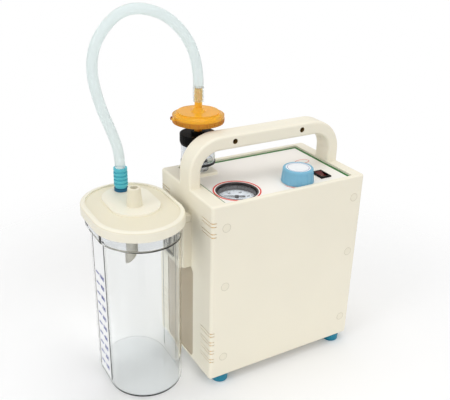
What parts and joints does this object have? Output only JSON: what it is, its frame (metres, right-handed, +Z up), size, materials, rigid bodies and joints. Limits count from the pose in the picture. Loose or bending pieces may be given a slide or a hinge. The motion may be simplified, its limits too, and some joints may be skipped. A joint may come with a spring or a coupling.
{
  "type": "vacuum aspirator",
  "caption": "Portable suction unit: cream two-shell casing with integral handle and gauge panel, hanging oval collection jar, overflow bottle, inline filter and bent hose.",
  "frame": {"origin": "on the floor under the centre of the overall box (hose left out)", "axes": "+Z up, front with the screw caps towards -Y, collection jar on the -X side"},
  "size_m": [0.325, 0.1463, 0.4414],
  "materials": {
    "casing": "satin moulded ABS, cream",
    "bracket": "satin moulded ABS, cream",
    "panel": "printed film, pale grey",
    "plate": "sheet",
    "green": "printed green border",
    "steel": "plain",
    "brass": "plain",
    "foot": "teal rubber",
    "cap": "satin",
    "dark": "satin black",
    "gauge_case": "satin dark grey",
    "red": "printed red ring",
    "dial": "white printed dial",
    "needle": "matt black",
    "lens": "clear",
    "knob": "light blue, satin",
    "white": "white",
    "switch_red": "dark red rocker",
    "clear": "clear moulded polycarbonate",
    "scale": "printed blue marks",
    "lid": "satin cream",
    "gasket": "pale silicone",
    "float": "white",
    "teal": "teal rubber",
    "hose": "translucent silicone",
    "amber": "amber translucent",
    "membrane": "filter disc",
    "rubber": "black",
    "cast": "die cast",
    "iron": "laminated core",
    "copper": "enamelled winding",
    "sheet": "zinc plated",
    "tube": "rigid nylon tube"
  },
  "bodies": {
    "casing_body": {"front_shell": "casing", "rear_shell": "casing", "shell_screws": "steel", "screw_caps": "cap", "handle_screws": "brass", "feet": "foot", "foot_screws": "steel", "panel_plate": "plate", "panel_stripe": "green", "panel_film": "panel", "gauge_case": "gauge_case", "gauge_ring": "red", "gauge_dial": "dial", "gauge_movement": "brass", "gauge_lens": "lens", "gauge_studs": "steel", "regulator_body": "brass", "switch_housing": "dark", "jar_bracket": "bracket", "bracket_screws": "steel", "panel_boss": "casing", "bottle_neck": "clear", "safety_bottle": "clear", "bottle_ring": "rubber", "bottle_cap": "dark", "filter_lower": "amber", "filter_membrane": "membrane", "filter_upper": "amber", "power_inlet": "dark", "inlet_pins": "brass", "pump_plate": "sheet", "pump_mounts": "rubber", "motor_stator": "iron", "motor_windings": "copper", "motor_bell": "cast", "crankcase": "cast", "diaphragm": "rubber", "pump_head": "cast", "head_screws": "steel", "vacuum_line": "tube"},
    "jar_body": {"jar": "clear", "jar_scale": "scale"},
    "lid_body": {"lid": "lid", "lid_gasket": "gasket", "float_cage": "float", "hose_connector": "teal", "hose": "hose", "hose_sleeve": "hose"},
    "float_body": {"float_valve": "float"},
    "knob_body": {"regulator_knob": "knob", "knob_cap": "white", "regulator_spindle": "steel"},
    "rocker_body": {"switch_rocker": "switch_red"},
    "needle_body": {"gauge_needle": "needle"},
    "fuse_body": {"fuse_drawer": "dark"},
    "rotor_body": {"motor_shaft": "steel", "motor_rotor": "iron", "cooling_fan": "dark", "eccentric": "steel"},
    "rod_body": {"pump_rod": "cast"}
  },
  "joints": [
    {"name": "jar_lift", "type": "slide", "parent": "casing_body", "child": "jar_body", "axis": [0, 0, 1], "range_m": [0, 0.06]},
    {"name": "lid_lift", "type": "slide", "parent": "jar_body", "child": "lid_body", "axis": [0, 0, 1], "range_m": [0, 0.06]},
    {"name": "float_rise", "type": "slide", "parent": "lid_body", "child": "float_body", "axis": [0, 0, 1], "range_m": [0, 0.012]},
    {"name": "regulator_turn", "type": "hinge", "parent": "casing_body", "child": "knob_body", "pos_m": [0.08, -0.0475, 0.2483], "axis": [0, 0, 1], "range_deg": [-270, 0]},
    {"name": "switch_tip", "type": "hinge", "parent": "casing_body", "child": "rocker_body", "pos_m": [0.1175, -0.045, 0.2378], "axis": [1, 0, 0], "range_deg": [-16, 0]},
    {"name": "gauge_sweep", "type": "hinge", "parent": "casing_body", "child": "needle_body", "pos_m": [0.0012, -0.0395, 0.2323], "axis": [0, 0, 1], "range_deg": [-270, 0]},
    {"name": "fuse_pull", "type": "slide", "parent": "casing_body", "child": "fuse_body", "axis": [0, 1, 0], "range_m": [0, 0.016]},
    {"name": "shaft_spin", "type": "hinge", "parent": "casing_body", "child": "rotor_body", "pos_m": [0, -0.01, 0.074], "axis": [1, 0, 0], "continuous": true},
    {"name": "rod_orbit", "type": "hinge", "parent": "rotor_body", "child": "rod_body", "pos_m": [0.08, -0.01, 0.071], "axis": [1, 0, 0], "continuous": true}
  ],
  "couplings": [
    {"joint": "rod_orbit", "follows": "shaft_spin", "ratio": -1}
  ]
}
